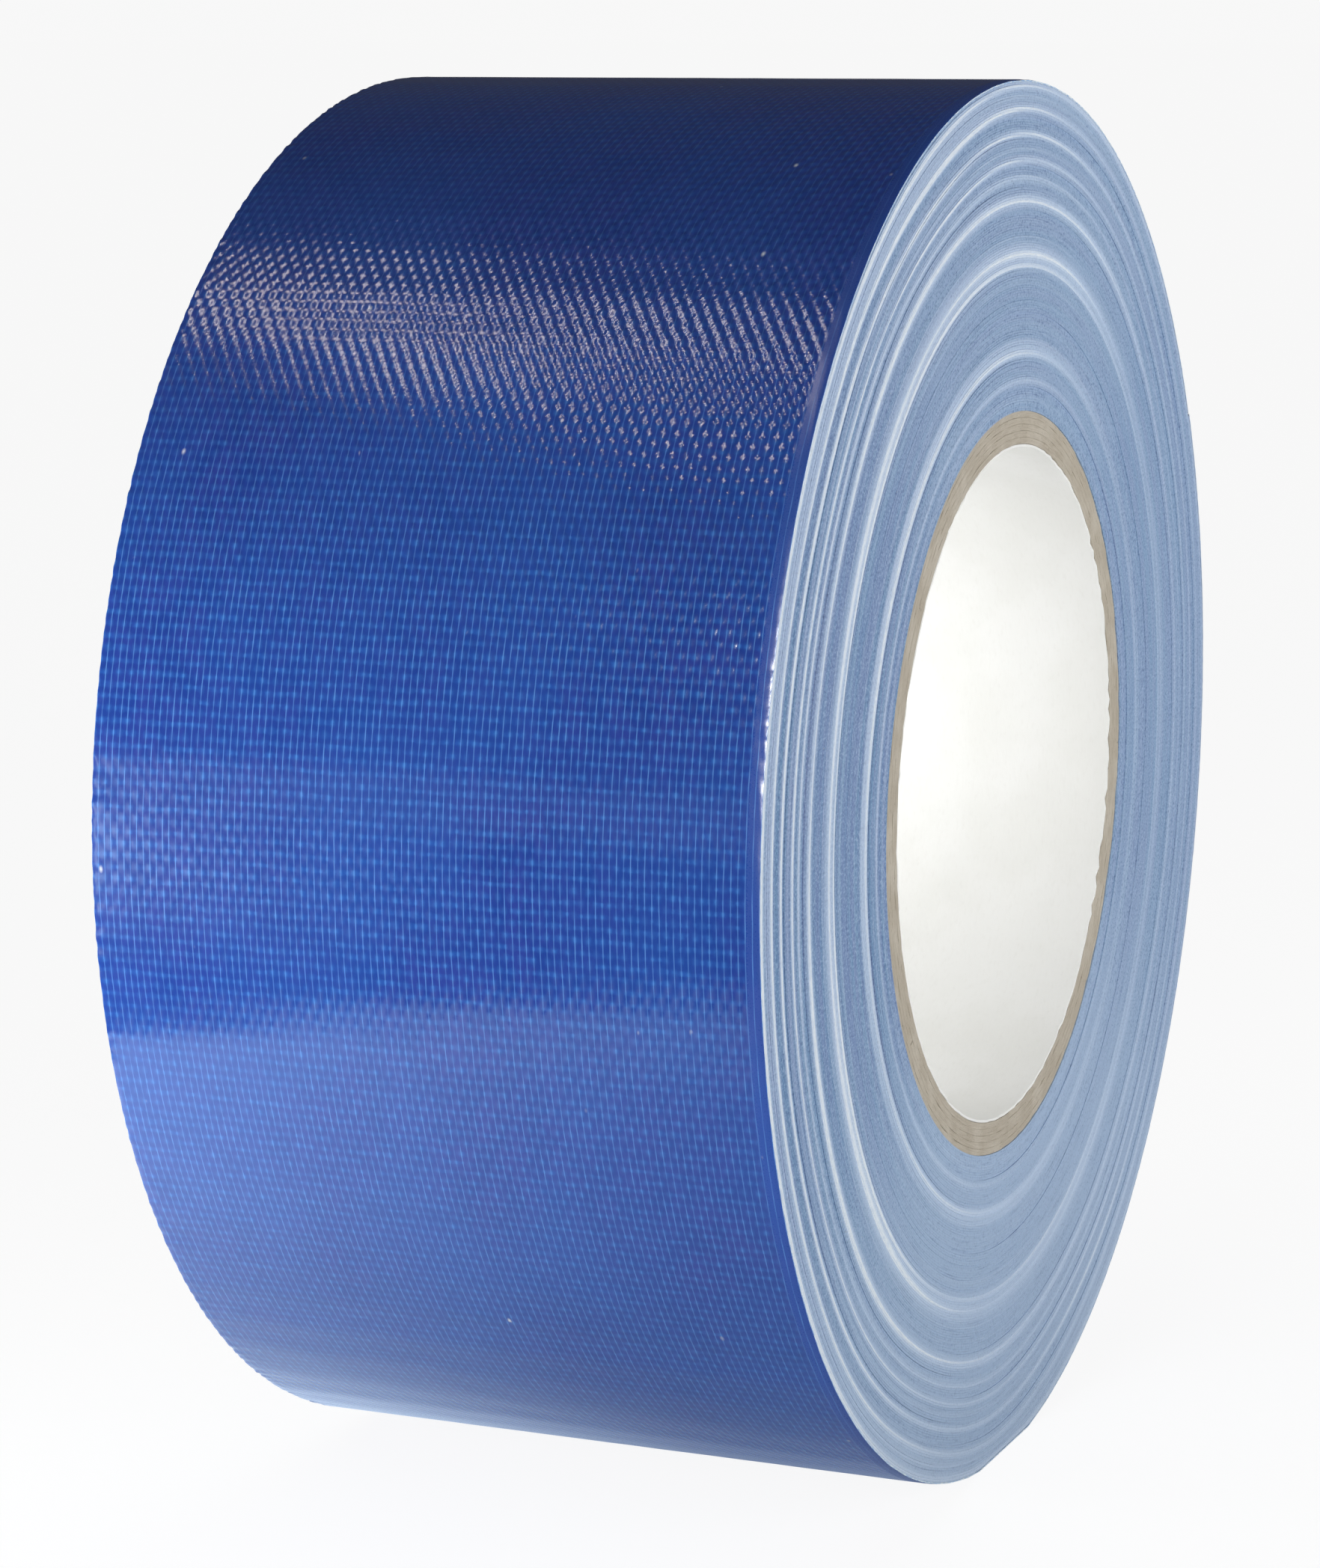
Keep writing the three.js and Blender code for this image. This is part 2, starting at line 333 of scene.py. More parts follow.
EDGE_LAVENDER = rgb(122, 146, 190)
EDGE_TEAL = rgb(112, 150, 190)
EDGE_LIGHT = rgb(172, 194, 222)
EDGE_DARK = rgb(92, 116, 162)
EDGE_HIGHLIGHT_PALE = rgb(204, 221, 244)
EDGE_HIGHLIGHT_WHITE = rgb(238, 246, 254)
EDGE_YELLOW = rgb(214, 206, 168)
EDGE_RELIEF = 0.04 * MM
EDGE_PAINTED_LIGHT_RIGHT = 0.36  # shares of EDGE_LIGHT on the right, at the bottom and at the top: painted light, standing in for the stronger light that falls there
EDGE_PAINTED_LIGHT_BELOW = 0.6
EDGE_PAINTED_LIGHT_ABOVE = 0.22

RIM_PALE = rgb(232, 246, 254)
RIM_BLUE = rgb(150, 190, 236)
RIM_RELIEF = 0.03 * MM

KRAFT = rgb(196, 187, 172)
KRAFT_SHADE = rgb(180, 170, 154)
KRAFT_LIGHT = rgb(214, 207, 194)
KRAFT_DARK = rgb(140, 128, 110)
KRAFT_RELIEF = 0.06 * MM

LINER_WHITE = rgb(251, 251, 249)
LINER_SHADE = rgb(247, 247, 244)
LINER_FIBRE = rgb(238, 237, 233)
LINER_RELIEF = 0.02 * MM


# ---- Mesh helpers --------------------------------------------------------------------------------


def wander(seed, slowest, fastest):
    """A smooth, closed function of angle between about -1 and 1, from a few random waves."""
    draw = np.random.default_rng(seed)
    waves = np.arange(slowest, fastest + 1)
    heights = draw.uniform(0.4, 1.0, len(waves))
    phases = draw.uniform(0, FULL_TURN, len(waves))
    scale = 1.4 / math.sqrt(len(waves))

    def at(angle):
        turned = np.multiply.outer(np.asarray(angle), waves) + phases
        return scale * (heights * np.sin(turned)).sum(axis=-1)

    return at


def smooth_step(value, start, end):
    """0 before start, 1 after end, and smooth between them."""
    share = np.clip((value - start) / (end - start), 0, 1)
    return share * share * (3 - 2 * share)


def on_cylinder(radius, angle, y):
    """Points at a radius and angle round Y, from arrays that broadcast together."""
    radius, angle, y = np.broadcast_arrays(radius, angle, y)
    return np.stack([radius * np.cos(angle), y, radius * np.sin(angle)], axis=-1)


def signed_volume(points, quads):
    """The volume that quads enclose, which is negative where they face inwards."""
    a, b, c, d = (points[quads[:, i]] for i in range(4))
    halves = np.einsum("ij,ij->i", a, np.cross(b, c)) + np.einsum("ij,ij->i", a, np.cross(c, d))
    return halves.sum() / 6


def end_caps(columns, rows):
    """The quads that close a tube's first and last ring, which each run out on one side and back."""
    near = np.arange(rows // 2 - 1)
    first_cap = np.stack([near, near + 1, rows - 2 - near, rows - 1 - near], axis=-1)
    last_cap = first_cap[:, ::-1] + (columns - 1) * rows
    return np.concatenate([first_cap, last_cap])


def tube_mesh(name, rings, closed, materials, row_slots, uv=None, ledge_highlight=None):
    """A solid through rings of points: rings[c, r] is point r of ring c, and each ring is closed.

    The row of rings closes into a torus, or its two ends get caps. row_slots gives each row of faces
    its material. uv is the pattern's place at each point, and has one more column where it's closed.
    """
    columns, rows = rings.shape[:2]
    face_columns = columns if closed else columns - 1
    column = np.arange(face_columns)[:, None]
    row = np.arange(rows)[None, :]
    next_column = (column + 1) % columns
    next_row = (row + 1) % rows
    corners = [(column, row), (next_column, row), (next_column, next_row), (column, next_row)]
    quads = np.stack([c * rows + r for c, r in corners], axis=-1).reshape(-1, 4)
    slots = np.broadcast_to(row_slots, (face_columns, rows)).ravel()
    if uv is None:
        uv = np.zeros((face_columns + 1, rows, 2))
    uv_corners = [(column, row), (column + 1, row), (column + 1, next_row), (column, next_row)]
    loops = np.stack([uv[c, r] for c, r in uv_corners], axis=2).reshape(-1, 4, 2)

    if not closed:
        caps = end_caps(columns, rows)
        quads = np.concatenate([quads, caps])
        slots = np.concatenate([slots, np.full(len(caps), row_slots[-1])])
        loops = np.concatenate([loops, np.zeros((len(caps), 4, 2))])

    points = rings.reshape(-1, 3)
    if signed_volume(points, quads) < 0:
        quads = quads[:, ::-1]
        loops = loops[:, ::-1]

    mesh = bpy.data.meshes.new(name)
    mesh.from_pydata(points.tolist(), [], quads.tolist())
    mesh.uv_layers.new(name="weave").uv.foreach_set("vector", loops.astype(np.float32).ravel())
    mesh.polygons.foreach_set("material_index", slots.astype(np.int32))
    if ledge_highlight is not None:
        attribute = mesh.attributes.new("ledge_highlight", "FLOAT", "POINT")
        attribute.data.foreach_set("value", ledge_highlight.astype(np.float32).ravel())
    for material in materials:
        mesh.materials.append(material)
    mesh.shade_smooth()
    mesh.set_sharp_from_angle(angle=SHARP_ANGLE)
    return add_object(name, mesh)


def add_object(name, data):
    """A new object in the scene, from a mesh, a light or a camera."""
    made = bpy.data.objects.new(name, data)
    bpy.context.scene.collection.objects.link(made)
    return made


# ---- Material helpers ----------------------------------------------------------------------------


class MaterialNodes:
    """One material. Each method adds a node, feeds it values or outputs, and returns its output."""

    def __init__(self, name):
        self.material = bpy.data.materials.new(name)
        self.material.use_nodes = True
        self.tree = self.material.node_tree
        self.shader = self.tree.nodes["Principled BSDF"]

    def node(self, kind, inputs=(), **settings):
        made = self.tree.nodes.new(kind)
        for key, value in settings.items():
            setattr(made, key, value)
        for key, value in dict(inputs).items():
            self.feed(made.inputs[key], value)
        return made

    def feed(self, socket, value):
        if isinstance(value, bpy.types.NodeSocket):
            self.tree.links.new(value, socket)
        else:
            socket.default_value = value

    def math(self, operation, *values):
        return self.node("ShaderNodeMath", enumerate(values), operation=operation).outputs[0]

    def add(self, first, second):
        return self.math("ADD", first, second)

    def subtract(self, first, second):
        return self.math("SUBTRACT", first, second)

    def times(self, first, second):
        return self.math("MULTIPLY", first, second)

    def sine(self, angle):
        return self.math("SINE", angle)

    def cosine(self, angle):
        return self.math("COSINE", angle)

    def length(self, x, y):
        return self.math("SQRT", self.add(self.times(x, x), self.times(y, y)))

    def step(self, value, start, end, low=0.0, high=1.0):
        """low before start, high after end, and smooth between them."""
        inputs = enumerate([value, start, end, low, high])
        return self.node("ShaderNodeMapRange", inputs, interpolation_type="SMOOTHSTEP").outputs[0]

    def mix(self, share, first, second):
        """A colour between two others: the first where share is 0, and the second where it is 1."""
        inputs = {0: share, 6: first, 7: second}
        return self.node("ShaderNodeMix", inputs, data_type="RGBA").outputs[2]

    def vector(self, x, y, z=0.0):
        return self.node("ShaderNodeCombineXYZ", {0: x, 1: y, 2: z}).outputs[0]

    def parts(self, vector):
        return self.node("ShaderNodeSeparateXYZ", {0: vector}).outputs

    def object_place(self):
        return self.node("ShaderNodeTexCoord").outputs["Object"]

    def noise(self, vector, scale, detail=2.0, roughness=0.5):
        inputs = {"Vector": vector, "Scale": scale, "Detail": detail, "Roughness": roughness}
        return self.node("ShaderNodeTexNoise", inputs).outputs[0]

    def sway(self, vector, reach):
        """Smooth noise round 0, at most half of reach to each side."""
        return self.times(self.add(self.noise(vector, 1.0), -0.5), reach)

    def dots(self, vector, scale, size):
        """1 in scattered round dots, whose radius is size times their spacing, and 0 elsewhere."""
        cells = self.node("ShaderNodeTexVoronoi", {"Vector": vector, "Scale": scale})
        return self.step(cells.outputs["Distance"], size, 0.0)

    def from_nearest(self, value):
        """The distance of a value from the nearest whole number."""
        return self.math("PINGPONG", value, 0.5)

    def bump(self, height, depth):
        """A bump as deep as depth metres where height goes from 0 to 1."""
        inputs = {"Height": height, "Distance": depth, "Strength": 1.0}
        return self.node("ShaderNodeBump", inputs).outputs[0]

    def finish(self, color, roughness, normal=None, **constants):
        self.feed(self.shader.inputs["Base Color"], color)
        self.feed(self.shader.inputs["Roughness"], roughness)
        if normal is not None:
            self.feed(self.shader.inputs["Normal"], normal)
        for key, value in constants.items():
            self.shader.inputs[key.replace("_", " ")].default_value = value
        return self.material


# ---- The strip's two sides -----------------------------------------------------------------------


def weave_coordinates(m):
    """Warp threads counted across the strip and weft threads counted along it, slightly uneven."""
    across, along, _ = m.parts(m.node("ShaderNodeUVMap", uv_map="weave").outputs[0])
    place = m.vector(across, along)
    warp_sway = m.sway(m.vector(m.times(across, 0.9), m.times(along, 0.25)), WARP_WANDER)
    weft_sway = m.sway(m.vector(m.times(across, 0.12), m.times(along, 0.9)), WEFT_WANDER)
    return place, m.add(across, warp_sway), m.add(along, weft_sway)


def weave_checker(m, warp, weft):
    """1 where a warp thread lies on top, -1 where a weft thread does, and smooth between them."""
    return m.times(m.cosine(m.times(warp, math.pi)), m.cosine(m.times(weft, math.pi)))


def film_color(m, place, warp, weft, angle, margin):
    """Deep blue with slow clouds, under which the threads show as paler lines, bars and dots."""
    woven = m.subtract(1.0, margin)
    from_warp = m.from_nearest(warp)
    from_weft = m.from_nearest(weft)
    line = m.step(from_warp, *THREAD_LINE)
    bar = m.times(m.step(from_weft, *THREAD_BAR), woven)
    crossing = m.times(m.step(from_warp, *CROSSING_WARP), m.step(from_weft, *CROSSING_WEFT))
    crossing = m.times(crossing, woven)
    raised = m.times(m.step(weave_checker(m, warp, weft), 0.0, 0.8), woven)
    shown = m.step(m.sine(angle), 0.25, 0.85, low=1.0, high=THREADS_ON_TOP)
    shown = m.times(shown, m.step(m.sine(angle), -0.25, 0.0, low=THREADS_BELOW))

    thread_noise = m.noise(m.vector(warp, m.times(weft, 0.3)), 1.0)
    cell_noise = m.noise(place, 0.8, 3.0)
    patch_noise = m.noise(place, 0.3, 3.0)
    slow_noise = m.noise(place, 0.04, 3.0)
    bar_share = m.times(bar, m.step(cell_noise, 0.3, 0.75, low=0.05, high=0.4))
    dot_share = m.times(m.step(crossing, 0.3, 0.9), m.step(cell_noise, 0.4, 0.7, low=0.06, high=0.42))
    line_share = m.times(line, m.step(thread_noise, 0.25, 0.75, low=0.2, high=0.75))
    specks = m.times(m.dots(place, 0.16, 0.07), m.step(m.noise(place, 0.33), 0.52, 0.6))

    color = m.mix(m.step(patch_noise, 0.35, 0.65), FILM_DEEP, FILM_PURPLE)
    color = m.mix(m.step(slow_noise, 0.3, 0.7, low=0.0, high=0.6), color, FILM_BRIGHT)
    color = m.mix(m.times(bar_share, shown), color, FILM_BAR)
    color = m.mix(m.times(dot_share, shown), color, FILM_DOT)
    color = m.mix(m.times(raised, 0.1), color, FILM_DOT)
    color = m.mix(m.times(margin, 0.3), color, FILM_MARGIN)
    color = m.mix(m.times(line_share, shown), color, FILM_LINE)
    return m.mix(specks, color, FILM_SPECK)


def film_height(m, place, warp, weft, angle, margin, grain):
    """The threads under the film, with slow waves, fine grain and a wrinkled margin."""
    across, along, _ = m.parts(place)
    looseness = m.step(m.cosine(m.add(angle, -LOOSEST_ANGLE)), 0.8, 0.97, low=TIGHT_RELIEF, high=1.0)
    looseness = m.times(looseness, m.step(across, *WARP_SPAN, LOOSE_NEAR, LOOSE_FAR))
    looseness = m.times(looseness, m.step(m.noise(place, 0.8, 3.0), 0.3, 0.7, low=0.7, high=1.15))
    checker = m.times(weave_checker(m, warp, weft), m.subtract(1.0, margin))
    line = m.step(m.from_nearest(warp), *THREAD_LINE)
    waves = m.noise(m.vector(m.times(across, 0.6), along), 0.16)
    wrinkles = m.noise(m.vector(m.times(across, 0.9), along), 0.8)

    height = m.times(checker, m.times(looseness, CHECKER_RELIEF))
    height = m.add(height, m.times(line, LINE_RELIEF))
    height = m.add(height, m.times(grain, GRAIN_RELIEF))
    height = m.add(height, m.times(waves, WAVE_RELIEF))
    return m.add(height, m.times(m.times(wrinkles, margin), MARGIN_RELIEF))


def film_material():
    """Glossy blue polyethylene film drawn tight over the woven cloth, whose threads show through."""
    m = MaterialNodes("blue_film_over_weave")
    place, warp, weft = weave_coordinates(m)
    across, along, _ = m.parts(place)
    angle = m.times(along, 1 / WEFTS_PER_RADIAN)
    margin = m.step(across, FLAT_MARGIN_END, FLAT_MARGIN)  # the near edge has no crossings
    grain = m.noise(place, 5.0, 3.0, 0.7)
    color = film_color(m, place, warp, weft, angle, margin)
    height = film_height(m, place, warp, weft, angle, margin, grain)
    roughness = m.step(grain, 0.2, 0.8, *FILM_ROUGHNESS)
    roughness = m.add(roughness, m.times(margin, MARGIN_ROUGHNESS))
    bump = m.bump(height, FILM_RELIEF)
    return m.finish(color, roughness, bump, IOR=1.5, Specular_IOR_Level=FILM_GLOSS)


def adhesive_material():
    """The strip's underside: a soft coat of pale rubber, pressed into the cloth's weave."""
    m = MaterialNodes("grey_adhesive")
    place, warp, weft = weave_coordinates(m)
    checker = weave_checker(m, warp, weft)
    blotch = m.noise(place, 0.2, 4.0)
    grain = m.noise(place, 3.0, 3.0)
    color = m.mix(m.step(blotch, 0.3, 0.7), ADHESIVE_BLUE, ADHESIVE_PALE)
    color = m.mix(m.times(m.step(checker, -1.0, 1.0), 0.35), color, ADHESIVE_THREAD)
    height = m.add(m.times(checker, 0.5), m.times(grain, 0.4))
    roughness = m.step(blotch, 0.3, 0.7, low=0.38, high=0.62)
    return m.finish(color, roughness, m.bump(height, ADHESIVE_RELIEF), IOR=1.5)


# ---- Cut edges, board and paper ------------------------------------------------------------------


def round_coordinates(m):
    """The distance from the axis, the angle round Y, and y."""
    x, y, z = m.parts(m.object_place())
    return m.length(x, z), m.math("ARCTAN2", z, x), y


def turns_out(m, radius):
    """A radius counted in turns from where the tape starts."""
    return m.math("DIVIDE", m.subtract(radius, TAPE_START_RADIUS), TURN_PITCH)


def round_noise(m, turn, angle, per_turn, per_radian, detail=2.0):
    """Noise on an end face that doesn't break where the angle jumps from pi to -pi."""
    around = m.vector(
        m.times(m.cosine(angle), per_radian),
        m.times(m.sine(angle), per_radian),
        m.times(turn, per_turn),
    )
    return m.noise(around, 1.0, detail)


def wound_edge_material():
    """The cut edges of many turns: film, cloth and adhesive, fine streaks, fibre ends, and painted
    light.
    """
    m = MaterialNodes("cut_tape_edges")
    radius, angle, _ = round_coordinates(m)
    turn = turns_out(m, radius)
    pale = m.node("ShaderNodeAttribute", attribute_name="ledge_highlight").outputs["Fac"]
    bands = round_noise(m, turn, angle, 0.22, 1.2, 3.0)
    streaks = round_noise(m, turn, angle, 1.3, 9.0, 3.0)
    fine = round_noise(m, turn, angle, 2.6, 60.0)
    grain = m.noise(m.object_place(), 3000.0, 3.0, 0.65)

    # Painted light: the end face is lighter on the right, at the bottom and at the top, and its dark
    # grain is fainter at the bottom.
    right = m.step(m.cosine(angle), -1.05, -0.4, low=0.0, high=EDGE_PAINTED_LIGHT_RIGHT)
    painted_light_below = m.step(m.sine(angle), -0.2, -0.95, low=0.0, high=EDGE_PAINTED_LIGHT_BELOW)
    painted_light_above = m.step(m.sine(angle), 0.55, 0.95, low=0.0, high=EDGE_PAINTED_LIGHT_ABOVE)
    dark_grain = m.times(
        m.step(grain, 0.5, 0.3, low=0.0, high=0.75),
        m.step(painted_light_below, 0.0, EDGE_PAINTED_LIGHT_BELOW, low=1.0, high=0.5),
    )
    # Painted highlight on the ledges: pale where they stand out, and white in broken lines where they
    # stand out most.
    highlight_pale_share = m.times(m.step(pale, 0.0, 0.85), m.step(grain, 0.3, 0.6, low=0.72, high=1.0))
    highlight_white_share = m.times(m.step(pale, 0.6, 0.88), m.step(fine, 0.3, 0.6, low=0.4, high=1.0))
    dirt = m.dots(m.vector(m.times(turn, 0.35), m.times(angle, 60.0)), 0.5, 0.05)

    color = m.mix(m.step(bands, 0.38, 0.62), EDGE_LAVENDER, EDGE_TEAL)
    color = m.mix(m.add(m.add(right, painted_light_below), painted_light_above), color, EDGE_LIGHT)
    color = m.mix(m.step(streaks, 0.45, 0.7, low=0.0, high=0.3), color, EDGE_LIGHT)
    color = m.mix(m.step(streaks, 0.46, 0.25, low=0.0, high=0.4), color, EDGE_DARK)
    color = m.mix(dark_grain, color, EDGE_DARK)
    color = m.mix(m.step(grain, 0.5, 0.68, low=0.0, high=0.7), color, EDGE_LIGHT)
    color = m.mix(highlight_pale_share, color, EDGE_HIGHLIGHT_PALE)
    color = m.mix(highlight_white_share, color, EDGE_HIGHLIGHT_WHITE)
    color = m.mix(m.times(dirt, 0.6), color, EDGE_YELLOW)

    height = m.add(m.times(grain, 0.6), m.times(streaks, 0.5))
    return m.finish(color, 0.6, m.bump(height, EDGE_RELIEF), IOR=1.45)


def rim_material():
    """The cut edge of the single outer turn: bright where the film's edge catches the light."""
    m = MaterialNodes("cut_edge_of_outer_turn")
    radius, angle, _ = round_coordinates(m)
    turn = turns_out(m, radius)
    fine = round_noise(m, turn, angle, 3.0, 90.0, 3.0)
    slow = round_noise(m, turn, angle, 0.5, 8.0, 3.0)
    color = m.mix(m.step(fine, 0.4, 0.6), RIM_BLUE, RIM_PALE)
    color = m.mix(m.step(slow, 0.45, 0.7, low=0.0, high=0.5), color, RIM_PALE)
    return m.finish(color, 0.5, m.bump(fine, RIM_RELIEF), IOR=1.5)


def kraft_material(name, face_color, fibre_color):
    """Grey-brown core board: recycled fibres, darker flecks and a slightly fuzzy cut edge."""
    m = MaterialNodes(name)
    radius, angle, y = round_coordinates(m)
    layers = round_noise(m, turns_out(m, radius), angle, 3.5, 14.0, 3.0)
    along_fibres = m.vector(m.times(radius, 6000.0), m.times(angle, 60.0), m.times(y, 1500.0))
    fibres = m.noise(along_fibres, 1.0, 4.0, 0.65)
    blotch = m.noise(m.object_place(), 260.0, 3.0)
    color = m.mix(m.step(layers, 0.35, 0.65), face_color, fibre_color)
    color = m.mix(m.step(blotch, 0.4, 0.7, low=0.0, high=0.4), color, KRAFT_LIGHT)
    color = m.mix(m.step(fibres, 0.56, 0.72, low=0.0, high=0.55), color, KRAFT_DARK)
    return m.finish(color, 0.9, m.bump(fibres, KRAFT_RELIEF), IOR=1.4)


def liner_material():
    """The white paper inside the bore, faintly mottled, with the fibres running round."""
    m = MaterialNodes("white_liner_paper")
    _, angle, y = round_coordinates(m)
    fibres = m.noise(m.vector(m.times(angle, 30.0), m.times(y, 2500.0)), 1.0, 4.0, 0.6)
    blotch = m.noise(m.object_place(), 90.0, 3.0)
    color = m.mix(m.step(blotch, 0.35, 0.65), LINER_WHITE, LINER_SHADE)
    color = m.mix(m.step(fibres, 0.5, 0.75, low=0.0, high=0.3), color, LINER_FIBRE)
    return m.finish(color, 0.75, m.bump(fibres, LINER_RELIEF), IOR=1.45)


FILM = film_material()
ADHESIVE = adhesive_material()
WOUND_EDGES = wound_edge_material()
RIM = rim_material()
LINER = liner_material()


# ---- Building the core ---------------------------------------------------------------------------


def layer_piece(name, node, inner, outer, seam_angle, wear, material):
    """One layer of the core: a sheet of paper bent round, whose two edges meet at a helical seam."""
    draw = np.random.default_rng(int(seam_angle * 1000) + LAYER_SEED)
    half = half_width(node)
    bevel = min(BOARD_BEVEL, (outer - inner) / 4)
    inside = np.linspace(-half + bevel, half - bevel, LAYER_ROWS)
    across = np.concatenate([[-half], inside, [half]])
    inset = np.concatenate([[bevel], np.zeros(LAYER_ROWS), [bevel]])
    seam = seam_angle + (across / (2 * half) + 0.5) * SEAM_TURN
    gap = SEAM_GAP / outer
    share = np.linspace(0, 1, LAYER_COLUMNS)[:, None]
    angle = seam[None, :] + gap / 2 + share * (FULL_TURN - gap)
    worn = draw.uniform(0, wear, (LAYER_COLUMNS, 1)) * draw.uniform(0, 1, (LAYER_COLUMNS, 1))
    y = across[None, :] * (1 - worn / half)
    outer_points = on_cylinder(outer - inset[None, :], angle, y)
    inner_points = on_cylinder(inner + inset[None, :], angle, y)
    rings = np.concatenate([outer_points, inner_points[:, ::-1]], axis=1)
    piece = tube_mesh(name, rings, False, [material], np.zeros(rings.shape[1], int))
    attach(piece, "roll")
    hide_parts(node)
    return piece


def build_core():
    liner_radius = ring_radius("core_liner")
    liner = layer_piece(
        "liner_paper", "core_liner", BORE_RADIUS, liner_radius, LINER_SEAM, LINER_WEAR, LINER
    )
    inner = liner_radius + GLUE_LINE
    for layer in range(1, LAYER_COUNT + 1):
        node = f"core_ply_{layer}"
        colors = (KRAFT, KRAFT_SHADE) if layer % 2 else (KRAFT_SHADE, KRAFT)
        board = kraft_material(f"kraft_board_{layer}", *colors)
        outer = ring_radius(node) + GLUE_LINE
        seam = layer * SEAM_SPACING
        piece = layer_piece(
            f"board_layer_{layer}", node, inner, outer - HAIRLINE, seam, BOARD_WEAR, board
        )
        inner = outer


# ---- Building the wound turns --------------------------------------------------------------------

ring_sway = wander(seed=3, slowest=2, fastest=11)
face_sway = wander(seed=5, slowest=1, fastest=3)


def foot_limit(node, angle):
    """The largest radius that stays above the flat foot of a node's CAD solid."""
    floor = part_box(node)[0].z
    down = np.minimum(np.sin(angle), FOOT_REACH)
    anything = 1.0  # a metre, far beyond the roll
    return np.where(np.sin(angle) < FOOT_REACH, floor / down, anything)


def spiral_share(angle):
    """How far round the last turn an angle is, from 0 at the step to 1 just before it."""
    return (angle - STRIP_END_ANGLE) / FULL_TURN


def ledge_and_highlight_at(turn, angle):
    """How strong the ledges near a turn and an angle are, from 0 to 1: how far they stand out, and
    how pale the painted highlight on them makes the end face.
    """
    total = np.zeros(np.broadcast_shapes(turn.shape, angle.shape))
    # The ledges, and the painted highlight on them, are strongest on one side and again at the
    # bottom.
    one_sided = smooth_step(np.cos(angle - PALEST_ANGLE), *COSINES_TO_PALEST)
    one_sided = FAINTEST_LEDGE + (1 - FAINTEST_LEDGE) * one_sided
    one_sided = one_sided + EXTRA_BELOW * smooth_step(np.sin(angle), *SINES_TO_BOTTOM)
    dented = np.exp(-(((angle - DENT_ANGLE) / DENT_SPREAD) ** 2))
    for middle, strength, reach in LEDGES:
        uneven = wander(int(middle * 2) + LEDGE_SEED, slowest=2, fastest=5)(angle)
        height = strength * one_sided * (1 + LEDGE_UNEVENNESS * uneven)
        dent = DENT_TURNS * dented * smooth_step(middle, *DENT_GROWS_OVER)
        away = np.abs(turn - (middle - dent)) / reach
        total += height * np.exp(-(away**LEDGE_FALLOFF))
    return np.clip(total, 0, 1)


def face_rows(turns):
    """The rows of points across a group's end face: place in turns, depth, and the turn it is on."""
    places, depths, owners = [], [], []
    for turn in range(turns):
        if turn > 0:
            places.append(turn)
            depths.append(GROOVE_DEPTH)
            owners.append(turn)
        places += [turn + GROOVE_WIDTH, turn + 1 - GROOVE_WIDTH]
        depths += [0, 0]
        owners += [turn, turn]
    places[0], places[-1] = 0, turns
    return np.array(places, float), np.array(depths), np.array(owners)


def group_outline(node, inner, places, turns, is_outermost):
    """The angle of each column of points round a group, and the radius of every point."""
    end = STRIP_END_ANGLE + FULL_TURN * (1 - 1 / COLUMNS)
    if is_outermost:
        end = STRIP_END_ANGLE + FULL_TURN - STEP_LENGTH / LAST_TURN_RADIUS
    angle = np.linspace(STRIP_END_ANGLE, end, COLUMNS)[:, None]
    thickness = turns * TURN_PITCH - HAIRLINE
    if is_outermost:
        thickness = thickness + TURN_PITCH * spiral_share(angle)
        thickness = np.minimum(thickness, foot_limit(node, angle) - inner)
    radius = inner + thickness * places[None, :] / turns
    swaying = smooth_step(radius, *SWAY_GROWS_OVER) * smooth_step(radius, *SWAY_ENDS_OVER)
    return angle, radius + RING_SWAY * swaying * ring_sway(angle)


def wound_group(node, inner):
    """A group of wound turns, with a groove between each two, and ledges on the end faces that stand
    out and are pale with a painted highlight.
    """
    first, last = turn_numbers(node)
    turns = last - first + 1
    is_outermost = node == GROUP_NODES[-1]
    draw = np.random.default_rng(first)
    low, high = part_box(node)
    places, depths, owners = face_rows(turns)
    angle, radius = group_outline(node, inner, places, turns, is_outermost)

    turn = first - 0.5 + owners[None, :]
    turn[0, 0], turn[0, -1] = first - 1, last  # neighbouring groups meet at one depth
    pale = ledge_and_highlight_at(turn, angle)
    jitter = draw.normal(0, TURN_JITTER, turns)[owners][None, :]
    jitter[0, 0] = jitter[0, -1] = 0
    drift = FACE_DRIFT * face_sway(angle + turn / DRIFT_TURNS)
    cad_offset = (low.y + high.y) / 2
    slid = CAD_OFFSET_SHARE * cad_offset - LEDGE_HEIGHT * pale + jitter + drift
    near_y = np.maximum(slid - FACE_HALF_WIDTH + depths, CAD_LOW.y)
    far_y = np.minimum(slid + FACE_HALF_WIDTH - depths, CAD_HIGH.y)
    near = on_cylinder(radius, angle, near_y)
    far = on_cylinder(radius, angle, far_y)
    rings = np.concatenate([near, far[:, ::-1]], axis=1)
    shades = draw.normal(0, SHADE_SPREAD, turns)[owners][None, :]
    # The painted highlight on the ledges, with each turn a little paler or darker at random.
    ledge_highlight = np.clip(pale + shades, 0, 1)
    ledge_highlight = np.concatenate([ledge_highlight, ledge_highlight[:, ::-1]], axis=1)

    outer_wall = len(places) - 1
    slots = np.zeros(rings.shape[1], int)
    slots[outer_wall] = 1 if is_outermost else 0  # the film shows in the step of the last turn
    wall_angle = np.append(angle[:, 0], angle[0, 0] + FULL_TURN)
    uv = strip_uv(wall_angle[:, None], rings[0, :, 1][None, :])
    name = f"wound_strip_{first:03d}_{last:03d}"
    piece = tube_mesh(name, rings, True, [WOUND_EDGES, FILM], slots, uv, ledge_highlight)
    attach(piece, "roll")
    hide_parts(node)


